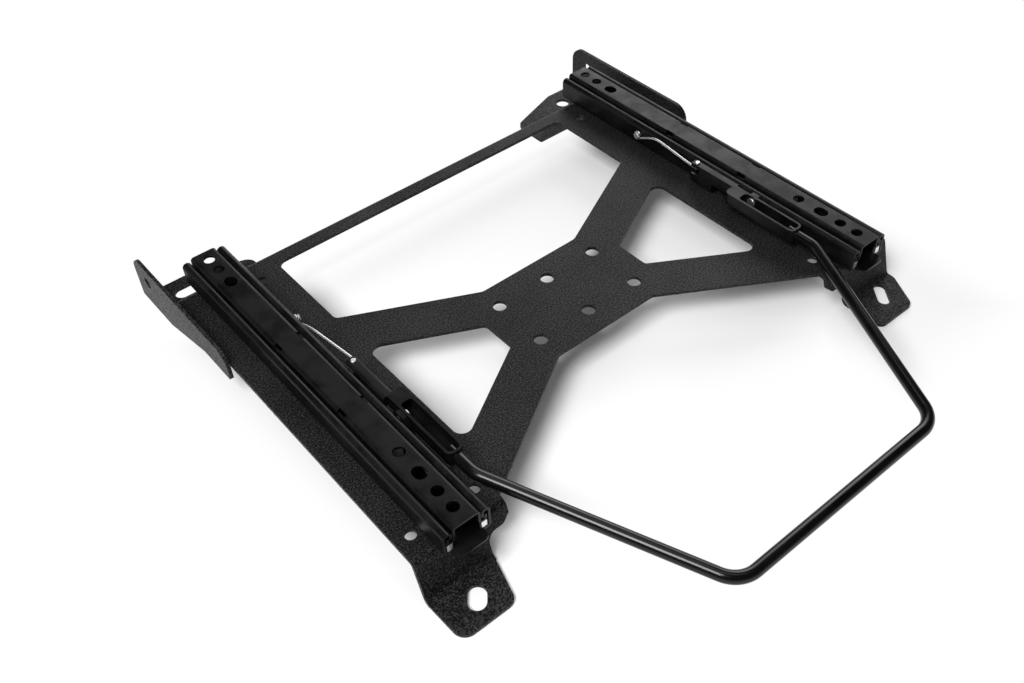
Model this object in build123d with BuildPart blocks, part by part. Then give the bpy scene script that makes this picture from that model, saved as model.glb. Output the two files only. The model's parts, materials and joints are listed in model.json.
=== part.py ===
from build123d import *
import os

os.makedirs("parts", exist_ok=True)

# Sliding seat mount, in millimetres. X is to the right, Y to the rear, Z up.
# Plate numbers are measured from the middle of the bolt grid, on the top face of the deck.

# Plate: sheet, deck and feet
SHEET = 3.0                # plate thickness
BEND_R = 3.0               # inside radius of every bend
FOOT_DROP = 33.0           # deck top down to foot top
DECK_MARGIN = 38.33        # rail centre to the deck's side edge
DECK_FRONT = 125.0         # deck to front web bend line
FRONT_LEAN = 10.4          # how far the front web leans forward
RAIL_OVER = 11.2           # rails reach this far past the deck's rear bend
REAR_LEAN = 7.0
FRONT_FOOT_LONG = 37.2     # bend line to the front feet's front edge
REAR_FOOT_LONG = 55.3

# Plate: bolt grid, X centre and cut-outs
GRID_X = 50.0              # pitch across
GRID_Y = 50.0              # pitch along
GRID_HOLE_R = 5.75
HUB_HALF = 49.7            # half width of the hub between the arms
HUB_FRONT = 46.5           # hub centre to its front edge
HUB_REAR = 47.0            # hub centre to its rear edge
ARM_SLOPE = 0.608          # front arm edge, rearward fall for each mm outward
WINDOW_MARGIN = 49.8       # rail centre to the rear window
WINDOW_KNEE = 100.5        # where the window's slanted side meets its straight side
REAR_BAR_WIDE = 15.2       # flat strip behind the window
WINDOW_RADII = (10.0, 5.0, 8.0)
TRI_IN = 71.9              # triangle: inner short side
TRI_MARGIN = 49.4          # rail centre to the triangle's outer long side
TRI_IN_HALF = 15.5         # half length of the short side
TRI_REAR = 58.5
TRI_FRONT = 67.6
TRI_TIP_R = 8.0
TRI_SHORT_R = 4.0
SIDE_HOLE_R = 4.3          # small spare holes beside the rails
FRONT_SIDE_HOLES = ((-29.0, 21.7), (25.8, 19.6))   # from the rail centre and the deck's front
REAR_SIDE_HOLE = (-30.0, 26.0)                     # from the rail centre and the deck's rear

# Plate: feet
EAR_WIDE = 20.5            # ear's inner edge to the foot's
EAR_DROP = 15.5            # how far the ear hangs down
EAR_R = 6.0
EAR_INNER_R = 8.0
FRONT_FOOT_WIDE = 56.5
SLANT_WIDE = 16.5          # right front foot's slanted corner
SLANT_LONG = 30.0
LEFT_FOOT_TAPER = 10.5     # left front foot: inner edge leans outward
LEFT_FOOT_STEP = 1.0       # its outer edge, a little inside the deck's
SMALL_FOOT_R = 6.0
FOOT_R = 8.0
BIG_FOOT_R = 10.0
REAR_FOOT_WIDE = 90.0
REAR_SLANT_LONG = 18.9     # rear feet's slanted inner corner
REAR_SLANT_WIDE = 56.8
FOOT_HOLE_R = 6.7          # half width of each floor hole and slot
FRONT_HOLE_OUT = 10.8      # rail centre to the left front floor hole
FRONT_SLOT_OUT = 13.2      # rail centre to the right front floor slot
FRONT_SLOT_IN = 23.8       # right front floor slot, in from the front edge
FRONT_SLOT_R = 5.1         # half width of the right front floor slot
FRONT_HOLE_IN = 18.6       # left front floor hole
FRONT_HOLE_LONG = 19.6     # left front hole, a little longer than wide
FRONT_SLOT_LONG = 24.4
FRONT_SLOT_TILT = 39.0     # both front floor holes, degrees from the rail's direction
REAR_HOLE_OUT = 8.8
REAR_HOLE_IN = 19.1
REAR_SLOT_LONG = 29.0

# Plate: side flanges
FLANGE_GAP = 1.5           # deck edge to the flange
FLANGE_TOP = 12.4          # above the deck
FLANGE_LONG = 159.6
FLANGE_LOW = 12.4          # lower edge of the free wing, below the deck
FLANGE_WING_LONG = 42.3    # level lower edge of the wing
FLANGE_RELIEF = 10.4       # rear web to the flange's foot
FLANGE_TOP_R = 14.0
FLANGE_LOW_R = 3.0
FLANGE_HOLE_R = 4.9
FLANGE_HOLE_IN = 22.2      # in from the rear edge
FLANGE_HOLE_DROP = 4.1

# Sliders
RAIL_X = 206.67            # rail centre from the middle
RAIL_OUT = 9.0             # rails reach this far past the deck's front bend
RAIL_LONG = 350.0
RAIL_SHEET = 2.0
LOWER_HALF = 19.5          # half width of the lower rail
LOWER_TOP = 20.7           # top of the curled lips
LIP_WIDE = 7.6             # outer width of each curled lip
LIP_END = 13.5             # lower end of the lip's inner leaf
LOWER_BEND_R = 1.0
UPPER_TOP = 23.0
UPPER_HALF = 11.4
UPPER_BEND_R = 1.0
BALL_ROOM = 7.0            # floor of the lower rail up to the hook's underside
HOOK_GAP = 0.5             # lip's inner leaf to the hook
TONGUE_LONG = 8.0          # floor tongue past the lower rail's front end
TONGUE_HALF = 13.0
TONGUE_R = 5.0
TRAVEL_STEPS = 6           # lock notches each way from where the rails lie flush

# Seat bolt holes and pockets in the upper rail
SEAT_HOLE_R = 4.65
SEAT_SLOT_R = 4.9
SEAT_SLOT_LONG = 12.4
REAR_SEAT_HOLES = (11.4, 27.5)          # from the rail's rear end
FRONT_SEAT_HOLES = (14.0, 30.5, 73.7)   # from its front end
REAR_SEAT_SLOT = 46.9
FRONT_SEAT_SLOT = 50.3
POCKETS = (39.6, -46.2)                 # from its middle
POCKET_LONG = 9.0
POCKET_WIDE = 3.2

# Balls and their cages
BALL_GAP = 0.05            # ball to each race
TOP_BALL_D = 3.3
CAGE_SHEET = 0.5
CAGE_WALL_GAP = 0.3
CAGE_LOW = 2.6             # cage underside above the lower rail's floor
CAGE_IN = 10.5             # inner edge of the cage's flat leg, from the rail centre
CAGE_TOP = 17.4
CAGE_LONG = 36.0
CAGE_END_GAP = 3.0         # cage to the rail's end at full travel
CAGE_BALL_AT = 11.0        # balls each way from the middle of the cage
CAGE_BALL_GAP = 0.15
CAGE_STOP_IN = 0.4         # stop block to the rail's end
CAGE_STOP_GAP = 0.3        # stop block to the cage at full travel
CAGE_STOP_WIDE = 4.5
CAGE_STOP_TALL = 6.4
CAGE_STOP_OUT = 1.1        # stop block to the rail's wall

# Rail screws and travel stops
SCREW_IN = 47.0            # in from each end of the rail
SCREW_R = 4.0
SCREW_HEAD_R = 7.0
SCREW_HEAD = 4.4
SCREW_SOCKET = 5.0
SCREW_SOCKET_DEEP = 2.4
SCREW_HOLE_GAP = 0.4
NUT_WIDE = 13.0
NUT_TALL = 6.5
SCREW_PAST_NUT = 2.0
STUD_R = 4.0
STUD_TALL = 9.0            # above the lower rail's floor
STUD_SHANK_R = 2.5
STOP_THICK = 2.0
STOP_WIDE = 12.0
STOP_LEG = 10.0            # foot of the tab, along the web towards the middle
STOP_OVERLAP = 3.0         # how far the tab reaches down beside the stud
STOP_GAP = 0.3

# Release lever: tray, arm and pivot
TRAY_WIDE = 14.0
TRAY_FRONT = -85.0
TRAY_POCKET_REAR = -25.0
TRAY_RIM = 22.0
TRAY_WALL = 2.0
TRAY_R = 3.0
TRAY_CORNER_R = 5.0        # the tray's corners, seen from above
ARM_WIDE = 9.8
ARM_FRONT = -11.0
ARM_R = 2.5
ARM_WALL_REAR = 25.0       # the arm's side walls end here, and its top runs on as a tab
ARM_REAR = 36.5
ARM_LOW = 13.2
ARM_RAIL_GAP = 0.35        # arm to the lower rail's wall
PIVOT_Y = -32.0
PIVOT_Z = 16.5
PIVOT_R = 3.0
PIVOT_HEAD_R = 4.0
PIVOT_HEAD = 1.5
PIVOT_GAP = 0.05           # pin to lever
SIDE_PLAY = 0.35           # lever to the bracket and to the pin's head
BRACKET_THICK = 3.8
BRACKET_FRONT = -50.0
BRACKET_REAR = -14.0
BRACKET_LOW = 3.0
BRACKET_R = 5.0

# Lock comb and its window
COMB_THICK = 2.5
COMB_HOOK_GAP = 0.4        # fingers rest this far under the hooks, released
COMB_FRONT = 10.0
FINGER_WIDE = 5.0
NOTCH_PITCH = 15.0
FINGER_FIRST = 17.0
FINGER_COUNT = 2
NOTCH_WIDE = 7.0
NOTCH_TALL = 4.9           # above the hook's underside
FINGER_END_GAP = 0.4       # finger end to the notch's inner end
NOTCH_IN = 13.2            # inner end of the notch, from the rail centre
WINDOW_END_GAP = 3.0       # rail window past the outer fingers
WINDOW_TOP_GAP = 5.4       # room over the fingers, for them to rise into the notches

# Release bar
BAR_R = 4.6
BAR_END_Y = -76.0
BAR_BEND_Y = -104.0
BAR_CORNER_X = 100.0
BAR_FRONT_Y = -272.5
BAR_FRONT_Z = 5.0
BAR_BEND_R = 24.0
BAR_CORNER_R = 22.0
BAR_HOLE_GAP = 0.1
BAR_UNDER_RIM = 2.0        # top of the bar below the tray's rim
BAR_END_CHAMFER = 0.8

# Return spring
SPRING_PIN_Y = 32.0
SPRING_PIN_R = 1.3
SPRING_HEAD_R = 2.2
SPRING_HEAD = 1.4
WIRE_R = 1.1
WIRE_PIN_RUN = 6.0         # straight back from the lever's pin
WIRE_ANCHOR_RUN = 22.0     # from the anchor forward to the bow's knee
WIRE_DIVE = 28.0           # degrees that the wire falls towards the anchor
WIRE_BEND_R = 40.0
EYE_TURN = 240.0           # degrees of each eye
EYE_GAP = 0.15
ANCHOR_Y = 109.0
ANCHOR_Z = 11.0
ANCHOR_R = 2.0
ANCHOR_HEAD_R = 3.2
ANCHOR_HEAD = 1.2
ANCHOR_LONG = 3.4          # shank from the rail's wall to the head

# Sizes that follow from those above
DECK_HALF = RAIL_X + DECK_MARGIN
RAIL_FRONT = -DECK_FRONT - RAIL_OUT
DECK_REAR = RAIL_FRONT + RAIL_LONG - RAIL_OVER
FRONT_FOOT_BEND = DECK_FRONT + FRONT_LEAN
REAR_FOOT_BEND = DECK_REAR + REAR_LEAN
FRONT_EDGE = FRONT_FOOT_BEND + FRONT_FOOT_LONG
REAR_EDGE = REAR_FOOT_BEND + REAR_FOOT_LONG
WINDOW_HALF = RAIL_X - WINDOW_MARGIN
WINDOW_REAR = DECK_REAR - REAR_BAR_WIDE
TRI_OUT = RAIL_X - TRI_MARGIN
FRONT_FOOT_IN = DECK_HALF - FRONT_FOOT_WIDE
EAR_IN = FRONT_FOOT_IN - EAR_WIDE
REAR_FOOT_IN = DECK_HALF - REAR_FOOT_WIDE
SIDE_HOLES = (*((RAIL_X + x, y - DECK_FRONT) for x, y in FRONT_SIDE_HOLES),
              (RAIL_X + REAR_SIDE_HOLE[0], DECK_REAR - REAR_SIDE_HOLE[1]))
FRONT_HOLE_X = RAIL_X + FRONT_HOLE_OUT
FRONT_HOLE_Y = FRONT_HOLE_IN - FRONT_EDGE
FRONT_SLOT_X = RAIL_X + FRONT_SLOT_OUT
FRONT_SLOT_Y = FRONT_SLOT_IN - FRONT_EDGE
REAR_HOLE_X = RAIL_X + REAR_HOLE_OUT
REAR_HOLE_Y = REAR_EDGE - REAR_HOLE_IN
FLANGE_OUT = DECK_HALF + FLANGE_GAP + SHEET
FLANGE_FRONT = REAR_EDGE - FLANGE_LONG
FLANGE_FOOT_START = REAR_FOOT_BEND + FLANGE_RELIEF
TRAVEL = TRAVEL_STEPS * NOTCH_PITCH
RAIL_MID = RAIL_FRONT + RAIL_LONG / 2
RAIL_REAR = RAIL_FRONT + RAIL_LONG
SCREW_AT = RAIL_LONG / 2 - SCREW_IN
CAGE_AT = RAIL_LONG / 2 - TRAVEL / 2 - CAGE_LONG / 2 - CAGE_END_GAP
RAIL_WALL = RAIL_X - LOWER_HALF
TRAY_OUT = RAIL_WALL - BRACKET_THICK - SIDE_PLAY
TRAY_IN = TRAY_OUT - TRAY_WIDE
FLOOR = RAIL_SHEET
BALL_R = BALL_ROOM / 2 - BALL_GAP
BALL_Z = FLOOR + BALL_ROOM / 2
BALL_X = LOWER_HALF - RAIL_SHEET - BALL_ROOM / 2
CURL_R = LIP_WIDE / 2 - HOOK_GAP / 5
HOOK_LOW = FLOOR + BALL_ROOM
HOOK_IN = LOWER_HALF - LIP_WIDE + RAIL_SHEET + HOOK_GAP
TOP_BALL_X = LOWER_HALF - LIP_WIDE / 2
TOP_BALL_Z = LOWER_TOP - RAIL_SHEET - BALL_GAP - TOP_BALL_D / 2
HOOK_TOP = TOP_BALL_Z - TOP_BALL_D / 2 - BALL_GAP
CAGE_OUT = LOWER_HALF - RAIL_SHEET - CAGE_WALL_GAP
CAGE_STOP_LONG = CAGE_END_GAP - CAGE_STOP_IN - CAGE_STOP_GAP
CAGE_STOP_X = LOWER_HALF - RAIL_SHEET - CAGE_STOP_OUT - CAGE_STOP_WIDE / 2
ARM_OUT = RAIL_WALL - ARM_RAIL_GAP
ARM_IN = ARM_OUT - ARM_WIDE
COMB_TOP = HOOK_LOW - COMB_HOOK_GAP
FINGER_LAST = FINGER_FIRST + (FINGER_COUNT - 1) * NOTCH_PITCH
NOTCH_COUNT = 2 * TRAVEL_STEPS + FINGER_COUNT
BAR_X = (TRAY_IN + TRAY_OUT) / 2
BAR_Z = TRAY_RIM - BAR_UNDER_RIM - BAR_R
TRAY_LOW = BAR_Z - BAR_R - TRAY_WALL
STUD_TOP = FLOOR + STUD_TALL
STOP_AT = RAIL_MID + STUD_R + STOP_GAP + TRAVEL
PIN_EYE_R = SPRING_PIN_R + EYE_GAP + WIRE_R
ANCHOR_EYE_R = ANCHOR_R + EYE_GAP + WIRE_R
EYE_X = (ARM_IN + ARM_OUT) / 2
EYE_Z = TRAY_RIM - TRAY_WALL - EYE_GAP - WIRE_R
ANCHOR_EYE_X = RAIL_WALL - ANCHOR_LONG / 2
TOP_Z = FOOT_DROP + SHEET
FLANGE_JOIN = FLANGE_OUT - BEND_R - 3 * SHEET
MID_Y = (BAR_R - BAR_FRONT_Y - REAR_EDGE) / 2

# Work planes: deck top seen from above, from the side, and from the front at a given place
DECK = Plane((0, MID_Y, TOP_Z))
SIDE = Plane((0, MID_Y, TOP_Z), x_dir=(0, 1, 0), z_dir=(1, 0, 0))
RAIL_END = Plane((RAIL_X, MID_Y + RAIL_REAR, TOP_Z), x_dir=(1, 0, 0), z_dir=(0, -1, 0))


def above(height):
    """Work plane parallel to the deck, at a height over its top face."""
    return Plane((0, MID_Y, TOP_Z + height))


def across(x):
    """Work plane seen from the side, at a distance from the middle."""
    return Plane((x, MID_Y, TOP_Z), x_dir=(0, 1, 0), z_dir=(1, 0, 0))


def facing(y):
    """Work plane seen from the front, at a distance behind the grid's middle."""
    return Plane((0, MID_Y + y, TOP_Z), x_dir=(1, 0, 0), z_dir=(0, -1, 0))


# Side flange: bent up from the rear foot, with a free wing beside the deck
with BuildPart() as flange:
    with BuildSketch(facing(REAR_EDGE)):
        with BuildLine():
            FilletPolyline(
                (FLANGE_JOIN, -FOOT_DROP - SHEET), (FLANGE_OUT, -FOOT_DROP - SHEET),
                (FLANGE_OUT, FLANGE_TOP), radius=BEND_R + SHEET)
            offset(amount=SHEET, side=Side.LEFT)
        make_face()
    extrude(amount=REAR_EDGE - FLANGE_FRONT)
    with BuildSketch(SIDE):
        with BuildLine():
            FilletPolyline(
                (FLANGE_FRONT, FLANGE_TOP), (REAR_EDGE, FLANGE_TOP), (REAR_EDGE, -FOOT_DROP - SHEET),
                (FLANGE_FOOT_START, -FOOT_DROP - SHEET), (FLANGE_FOOT_START, -FOOT_DROP),
                (FLANGE_FRONT + FLANGE_WING_LONG, -FLANGE_LOW), (FLANGE_FRONT, -FLANGE_LOW),
                radius=(FLANGE_TOP_R, FLANGE_TOP_R, 0, 0, 0, FLANGE_TOP_R, FLANGE_LOW_R), close=True)
        make_face()
    extrude(amount=FLANGE_OUT, mode=Mode.INTERSECT)
    with BuildSketch(SIDE):
        with Locations((REAR_EDGE - FLANGE_HOLE_IN, -FLANGE_HOLE_DROP)):
            Circle(FLANGE_HOLE_R)
    extrude(amount=FLANGE_OUT, mode=Mode.SUBTRACT)

# Base plate: side profile of the bent sheet, cut to its outline seen from above
with BuildPart() as base_plate:
    with BuildSketch(SIDE):
        with BuildLine():
            FilletPolyline(
                (-FRONT_EDGE - BIG_FOOT_R, -FOOT_DROP), (-FRONT_FOOT_BEND, -FOOT_DROP), (-DECK_FRONT, 0),
                (DECK_REAR, 0), (REAR_FOOT_BEND, -FOOT_DROP), (REAR_EDGE + BIG_FOOT_R, -FOOT_DROP),
                radius=(BEND_R, BEND_R + SHEET, BEND_R + SHEET, BEND_R))
            offset(amount=SHEET, side=Side.RIGHT)
        make_face()
    extrude(amount=DECK_HALF + BIG_FOOT_R, both=True)
    with BuildSketch(DECK):
        with BuildLine():
            FilletPolyline(
                (0, -HUB_FRONT), (HUB_HALF, -HUB_FRONT),
                (EAR_IN, -HUB_FRONT - ARM_SLOPE * (EAR_IN - HUB_HALF)),
                (EAR_IN, -FRONT_FOOT_BEND - BEND_R), (DECK_HALF, -FRONT_FOOT_BEND - BEND_R),
                (DECK_HALF, REAR_FOOT_BEND), (FLANGE_JOIN, REAR_FOOT_BEND), (FLANGE_JOIN, REAR_EDGE),
                (REAR_FOOT_IN + REAR_SLANT_WIDE, REAR_EDGE),
                (REAR_FOOT_IN, REAR_EDGE - REAR_SLANT_LONG), (REAR_FOOT_IN, DECK_REAR), (0, DECK_REAR),
                radius=(0, TRI_SHORT_R, 0, 0, 0, 0, 0, 0, FOOT_R, BIG_FOOT_R, BEND_R, 0), close=True)
        make_face()
        mirror(about=Plane.YZ)
        with BuildLine():
            FilletPolyline(
                (FRONT_FOOT_IN, -FRONT_FOOT_BEND), (FRONT_FOOT_IN, -FRONT_EDGE),
                (DECK_HALF - SLANT_WIDE, -FRONT_EDGE), (DECK_HALF, SLANT_LONG - FRONT_EDGE),
                (DECK_HALF, -FRONT_FOOT_BEND), radius=(0, SMALL_FOOT_R, FOOT_R, FOOT_R, 0), close=True)
        make_face()
        with BuildLine():
            FilletPolyline(
                (-FRONT_FOOT_IN, -FRONT_FOOT_BEND), (-FRONT_FOOT_IN - LEFT_FOOT_TAPER, -FRONT_EDGE),
                (LEFT_FOOT_STEP - DECK_HALF, -FRONT_EDGE), (-DECK_HALF, -FRONT_FOOT_BEND),
                radius=(0, FOOT_R, BIG_FOOT_R, 0), close=True)
        make_face()
    extrude(amount=TOP_Z + SHEET, both=True, mode=Mode.INTERSECT)
    with BuildSketch(facing(-DECK_FRONT + EAR_R)):
        with BuildLine():
            FilletPolyline(
                (0, EAR_R - EAR_DROP), (EAR_IN, EAR_R - EAR_DROP), (EAR_IN + EAR_R, -EAR_DROP),
                (FRONT_FOOT_IN, -EAR_DROP), (FRONT_FOOT_IN, -TOP_Z - SHEET), (0, -TOP_Z - SHEET),
                radius=(0, EAR_R, EAR_R, EAR_INNER_R, 0, 0), close=True)
        make_face()
        mirror(about=Plane.YZ)
    extrude(amount=FRONT_EDGE - DECK_FRONT + 2 * EAR_R, mode=Mode.SUBTRACT)
    with BuildSketch(DECK):
        with BuildLine():
            window = FilletPolyline(
                (-HUB_HALF, HUB_REAR), (HUB_HALF, HUB_REAR), (WINDOW_HALF, WINDOW_KNEE),
                (WINDOW_HALF, WINDOW_REAR), (-WINDOW_HALF, WINDOW_REAR), (-WINDOW_HALF, WINDOW_KNEE),
                radius=(WINDOW_RADII[0], *WINDOW_RADII, WINDOW_RADII[2], WINDOW_RADII[1]), close=True)
        make_face()
        with BuildLine():
            FilletPolyline(
                (TRI_IN, -TRI_IN_HALF), (TRI_OUT, -TRI_FRONT), (TRI_OUT, TRI_REAR), (TRI_IN, TRI_IN_HALF),
                radius=(TRI_SHORT_R, TRI_TIP_R, TRI_TIP_R, TRI_SHORT_R), close=True)
        make_face()
        with BuildLine():
            FilletPolyline(
                (-TRI_IN, -TRI_IN_HALF), (-TRI_OUT, -TRI_FRONT), (-TRI_OUT, TRI_REAR), (-TRI_IN, TRI_IN_HALF),
                radius=(TRI_SHORT_R, TRI_TIP_R, TRI_TIP_R, TRI_SHORT_R), close=True)
        make_face()
        with GridLocations(GRID_X, GRID_Y, 3, 2):
            Circle(GRID_HOLE_R)
        for hole_x, hole_y in SIDE_HOLES:
            with Locations((-hole_x, hole_y), (hole_x, hole_y)):
                Circle(SIDE_HOLE_R)
        with GridLocations(2 * RAIL_X, 2 * SCREW_AT, 2, 2):
            with Locations((0, RAIL_MID)):
                Circle(SCREW_R + SCREW_HOLE_GAP)
    extrude(amount=2 * SHEET, both=True, mode=Mode.SUBTRACT)
    with BuildSketch(above(-FOOT_DROP)):
        with Locations((-FRONT_HOLE_X, FRONT_HOLE_Y)):
            SlotOverall(FRONT_HOLE_LONG, 2 * FOOT_HOLE_R, rotation=90 - FRONT_SLOT_TILT)
        with Locations((FRONT_SLOT_X, FRONT_SLOT_Y)):
            SlotOverall(FRONT_SLOT_LONG, 2 * FRONT_SLOT_R, rotation=90 - FRONT_SLOT_TILT)
        with Locations((-REAR_HOLE_X, REAR_HOLE_Y)):
            SlotOverall(REAR_SLOT_LONG, 2 * FOOT_HOLE_R)
        with Locations((REAR_HOLE_X, REAR_HOLE_Y)):
            Circle(FOOT_HOLE_R)
    extrude(amount=2 * SHEET, both=True, mode=Mode.SUBTRACT)
    add(flange.part)
    mirror(flange.part, about=Plane.YZ)
base_plate.part.label = "base_plate"
export_step(base_plate.part, "parts/base_plate.step")

# Lower rail: C channel with curled lips, a floor tongue in front and a corner window for the lock
with BuildPart() as lower_rail_right:
    with BuildSketch(RAIL_END):
        with BuildLine():
            FilletPolyline(
                (0, 0), (LOWER_HALF, 0), (LOWER_HALF, LOWER_TOP), (LOWER_HALF - LIP_WIDE, LOWER_TOP),
                (LOWER_HALF - LIP_WIDE, LIP_END), radius=(LOWER_BEND_R + RAIL_SHEET, CURL_R, CURL_R))
            offset(amount=RAIL_SHEET, side=Side.RIGHT)
        make_face()
        mirror(about=Plane.YZ)
    extrude(amount=RAIL_LONG)
    with BuildSketch(DECK):
        with BuildLine():
            FilletPolyline(
                (RAIL_X - TONGUE_HALF, RAIL_FRONT), (RAIL_X - TONGUE_HALF, RAIL_FRONT - TONGUE_LONG),
                (RAIL_X + TONGUE_HALF, RAIL_FRONT - TONGUE_LONG), (RAIL_X + TONGUE_HALF, RAIL_FRONT),
                radius=(0, TONGUE_R, TONGUE_R, 0), close=True)
        make_face()
    extrude(amount=RAIL_SHEET)
    with BuildSketch(DECK):
        with Locations((RAIL_X, RAIL_MID - SCREW_AT), (RAIL_X, RAIL_MID + SCREW_AT)):
            Circle(SCREW_R + SCREW_HOLE_GAP)
        with Locations((RAIL_X, RAIL_MID)):
            Circle(STUD_SHANK_R)
    extrude(amount=RAIL_SHEET, mode=Mode.SUBTRACT)
    with BuildSketch(across(RAIL_WALL)):
        with Locations(((FINGER_FIRST + FINGER_LAST) / 2, 0)):
            Rectangle(
                FINGER_LAST - FINGER_FIRST + FINGER_WIDE + 2 * WINDOW_END_GAP,
                COMB_TOP + WINDOW_TOP_GAP, align=(Align.CENTER, Align.MIN))
    extrude(amount=LOWER_HALF - NOTCH_IN, mode=Mode.SUBTRACT)
    with BuildSketch(across(RAIL_WALL)):
        with Locations((ANCHOR_Y, ANCHOR_Z)):
            Circle(ANCHOR_R)
    extrude(amount=RAIL_SHEET, mode=Mode.SUBTRACT)
lower_rail_right.part.label = "lower_rail_right"
export_step(lower_rail_right.part, "parts/lower_rail_right.step")

with BuildPart() as lower_rail_left:
    mirror(lower_rail_right.part, about=Plane.YZ)
lower_rail_left.part.label = "lower_rail_left"
export_step(lower_rail_left.part, "parts/lower_rail_left.step")

# Upper rail: inverted channel with hooks under the lips, seat bolt holes and lock notches
with BuildPart() as upper_rail_right:
    with BuildSketch(RAIL_END):
        with BuildLine():
            FilletPolyline(
                (0, UPPER_TOP), (UPPER_HALF, UPPER_TOP), (UPPER_HALF, HOOK_LOW + RAIL_SHEET),
                (HOOK_IN, HOOK_LOW + RAIL_SHEET), (HOOK_IN, HOOK_TOP),
                radius=(UPPER_BEND_R + RAIL_SHEET, UPPER_BEND_R, UPPER_BEND_R))
            offset(amount=RAIL_SHEET, side=Side.RIGHT)
        make_face()
        mirror(about=Plane.YZ)
    extrude(amount=RAIL_LONG)
    with BuildSketch(above(UPPER_TOP)):
        with Locations(*((RAIL_X, RAIL_REAR - y) for y in REAR_SEAT_HOLES),
                       *((RAIL_X, RAIL_FRONT + y) for y in FRONT_SEAT_HOLES)):
            Circle(SEAT_HOLE_R)
        with Locations((RAIL_X, RAIL_REAR - REAR_SEAT_SLOT), (RAIL_X, RAIL_FRONT + FRONT_SEAT_SLOT)):
            SlotOverall(SEAT_SLOT_LONG, 2 * SEAT_SLOT_R, rotation=90)
        with Locations(*((RAIL_X, RAIL_MID + y) for y in POCKETS)):
            with GridLocations(2 * UPPER_HALF - POCKET_WIDE, POCKET_LONG, 2, 1):
                Rectangle(POCKET_WIDE, POCKET_LONG)
    extrude(amount=-RAIL_SHEET - UPPER_BEND_R, mode=Mode.SUBTRACT)
    with BuildSketch(across(RAIL_WALL + RAIL_SHEET)):
        with Locations(((FINGER_FIRST + FINGER_LAST) / 2, BALL_Z)):
            with GridLocations(NOTCH_PITCH, NOTCH_WIDE, NOTCH_COUNT, 1):
                Rectangle(NOTCH_WIDE, HOOK_LOW + NOTCH_TALL - BALL_Z, align=(Align.CENTER, Align.MIN))
    extrude(amount=LOWER_HALF - RAIL_SHEET - NOTCH_IN, mode=Mode.SUBTRACT)
upper_rail_right.part.label = "upper_rail_right"
export_step(upper_rail_right.part, "parts/upper_rail_right.step")

with BuildPart() as upper_rail_left:
    mirror(upper_rail_right.part, about=Plane.YZ)
upper_rail_left.part.label = "upper_rail_left"
export_step(upper_rail_left.part, "parts/upper_rail_left.step")

# Ball cage: a bent strip along one side channel, with room for two bottom and two top balls
with BuildPart() as cage:
    with BuildSketch(Plane((0, CAGE_LONG / 2, 0), x_dir=(1, 0, 0), z_dir=(0, -1, 0))):
        with BuildLine():
            FilletPolyline(
                (CAGE_IN, FLOOR + CAGE_LOW), (CAGE_OUT, FLOOR + CAGE_LOW), (CAGE_OUT, CAGE_TOP),
                radius=2 * CAGE_SHEET)
            offset(amount=CAGE_SHEET, side=Side.LEFT)
        make_face()
    extrude(amount=CAGE_LONG)
    with BuildSketch(Plane.XY):
        with Locations((BALL_X, -CAGE_BALL_AT), (BALL_X, CAGE_BALL_AT)):
            Circle(BALL_R + CAGE_BALL_GAP)
    extrude(amount=HOOK_LOW, mode=Mode.SUBTRACT)
    with BuildSketch(Plane.YZ):
        with Locations(*((y, TOP_BALL_Z - TOP_BALL_D / 2 - CAGE_BALL_GAP)
                         for y in (-CAGE_BALL_AT, CAGE_BALL_AT))):
            Rectangle(TOP_BALL_D + 2 * CAGE_BALL_GAP, TOP_BALL_D, align=(Align.CENTER, Align.MIN))
    extrude(amount=LOWER_HALF, mode=Mode.SUBTRACT)

# The balls of one cage
with BuildPart() as ball_set:
    with Locations((BALL_X, -CAGE_BALL_AT, BALL_Z), (BALL_X, CAGE_BALL_AT, BALL_Z)):
        Sphere(BALL_R)
    with Locations((TOP_BALL_X, -CAGE_BALL_AT, TOP_BALL_Z), (TOP_BALL_X, CAGE_BALL_AT, TOP_BALL_Z)):
        Sphere(TOP_BALL_D / 2)

# Each rail has a cage front and rear in both of its side channels
for side, middle in (("left", -RAIL_X), ("right", RAIL_X)):
    with BuildPart() as cages:
        with Locations(*((middle, MID_Y + RAIL_MID + y, TOP_Z) for y in (-CAGE_AT, CAGE_AT))):
            add(cage.part)
            add(cage.part, rotation=(0, 0, 180))
    cages.part.label = "ball_cages_" + side
    export_step(cages.part, f"parts/ball_cages_{side}.step")
    with BuildPart() as balls:
        with Locations(*((middle, MID_Y + RAIL_MID + y, TOP_Z) for y in (-CAGE_AT, CAGE_AT))):
            add(ball_set.part)
            add(ball_set.part, rotation=(0, 0, 180))
    balls.part.label = "bearing_balls_" + side
    export_step(balls.part, f"parts/bearing_balls_{side}.step")

# Cage stops: a small block at both ends of every side channel keeps the cages in
with BuildPart() as cage_stops:
    with BuildSketch(above(FLOOR)):
        with Locations((0, RAIL_MID)):
            with GridLocations(2 * RAIL_X, RAIL_LONG - 2 * CAGE_STOP_IN - CAGE_STOP_LONG, 2, 2):
                with Locations((-CAGE_STOP_X, 0), (CAGE_STOP_X, 0)):
                    Rectangle(CAGE_STOP_WIDE, CAGE_STOP_LONG)
    extrude(amount=CAGE_STOP_TALL)
cage_stops.part.label = "cage_stops"
export_step(cage_stops.part, "parts/cage_stops.step")

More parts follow.
